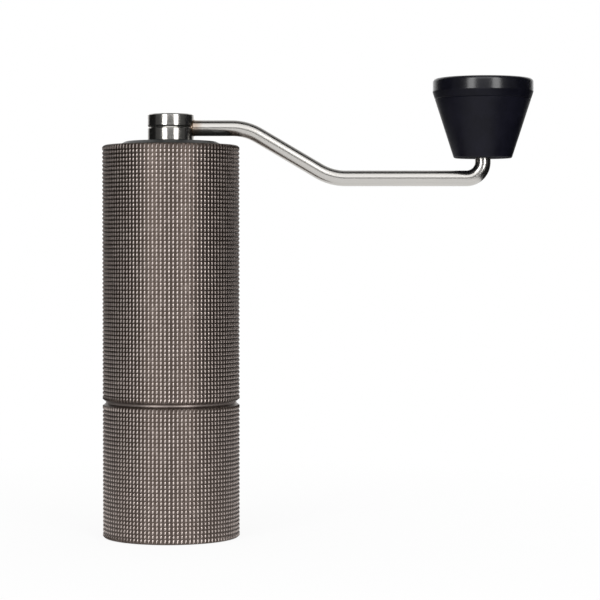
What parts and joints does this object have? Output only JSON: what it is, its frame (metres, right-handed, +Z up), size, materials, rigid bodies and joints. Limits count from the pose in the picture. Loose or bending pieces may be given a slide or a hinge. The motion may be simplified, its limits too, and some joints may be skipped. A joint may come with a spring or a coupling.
{
  "type": "hand crank coffee grinder",
  "caption": "Slim cylindrical manual coffee grinder with a knurled metal body and catch cup, a bent crank arm with a conical knob, and conical burrs on a bearing shaft.",
  "frame": {"origin": "centre of the catch cup's flat base", "axes": "+Z up along the shaft, +X along the crank arm towards the knob, +Y away from the picture's viewer"},
  "size_m": [0.1635, 0.052, 0.1739],
  "materials": {
    "anodised_taupe": "anodised, satin, knurled",
    "bracket_aluminium": "machined",
    "bearing_steel": "ground",
    "bearing_shield": "pressed",
    "ball_steel": "polished",
    "burr_steel": "hardened, milled",
    "screw_steel": "plain",
    "shaft_steel": "turned",
    "spring_steel": "drawn wire",
    "dial_plastic": "moulded",
    "lid_plastic": "moulded, satin",
    "crank_steel": "brushed",
    "knob_plastic": "moulded, satin",
    "bush_brass": "turned"
  },
  "bodies": {
    "cup": {"catch_cup": "anodised_taupe"},
    "body": {"grinder_body": "anodised_taupe", "upper_bracket": "bracket_aluminium", "lower_bracket": "bracket_aluminium", "upper_bearing_outer_ring": "bearing_steel", "upper_bearing_shields": "bearing_shield", "lower_bearing_outer_ring": "bearing_steel", "lower_bearing_shields": "bearing_shield", "ring_burr": "burr_steel", "ring_burr_screws": "screw_steel"},
    "lid": {"lid": "lid_plastic"},
    "crank": {"crank_hub": "crank_steel", "crank_arm": "crank_steel", "lid_clip": "spring_steel", "knob_washer": "screw_steel", "knob_clip": "spring_steel"},
    "knob": {"knob_grip": "knob_plastic", "knob_cap": "knob_plastic", "knob_bush": "bush_brass"},
    "shaft": {"drive_shaft": "shaft_steel", "shaft_clip": "spring_steel", "upper_bearing_inner_ring": "bearing_steel", "lower_bearing_inner_ring": "bearing_steel", "burr_spring": "spring_steel", "spring_washer": "screw_steel"},
    "upper_balls": {"upper_bearing_balls": "ball_steel"},
    "lower_balls": {"lower_bearing_balls": "ball_steel"},
    "burr": {"cone_burr": "burr_steel", "click_plate": "screw_steel"},
    "dial": {"grind_dial": "dial_plastic", "detent_balls": "ball_steel", "detent_springs": "spring_steel"}
  },
  "joints": [
    {"name": "body_lift", "type": "slide", "parent": "cup", "child": "body", "axis": [0, 0, 1], "range_m": [0, 0.06]},
    {"name": "lid_lift", "type": "slide", "parent": "body", "child": "lid", "axis": [0, 0, 1], "range_m": [0, 0.05]},
    {"name": "crank_spin", "type": "hinge", "parent": "lid", "child": "crank", "pos_m": [0, 0, 0.156], "axis": [0, 0, 1], "continuous": true},
    {"name": "knob_spin", "type": "hinge", "parent": "crank", "child": "knob", "pos_m": [0.1184, 0, 0.155], "axis": [0, 0, 1], "continuous": true},
    {"name": "shaft_spin", "type": "hinge", "parent": "body", "child": "shaft", "pos_m": [0, 0, 0.09], "axis": [0, 0, 1], "continuous": true},
    {"name": "upper_balls_spin", "type": "hinge", "parent": "body", "child": "upper_balls", "pos_m": [0, 0, 0.1149], "axis": [0, 0, 1], "continuous": true},
    {"name": "lower_balls_spin", "type": "hinge", "parent": "body", "child": "lower_balls", "pos_m": [0, 0, 0.0686], "axis": [0, 0, 1], "continuous": true},
    {"name": "burr_slide", "type": "slide", "parent": "shaft", "child": "burr", "axis": [0, 0, 1], "range_m": [-0.0015, 0.0015], "deforming": ["burr_spring"]},
    {"name": "dial_turn", "type": "hinge", "parent": "burr", "child": "dial", "pos_m": [0, 0, 0.04], "axis": [0, 0, 1], "range_deg": [-540, 540]}
  ],
  "couplings": [
    {"joint": "shaft_spin", "follows": "crank_spin", "ratio": 1},
    {"joint": "upper_balls_spin", "follows": "crank_spin", "ratio": 0.4},
    {"joint": "lower_balls_spin", "follows": "crank_spin", "ratio": 0.4},
    {"joint": "dial_turn", "follows": "burr_slide", "rad_per_m": 6283}
  ]
}
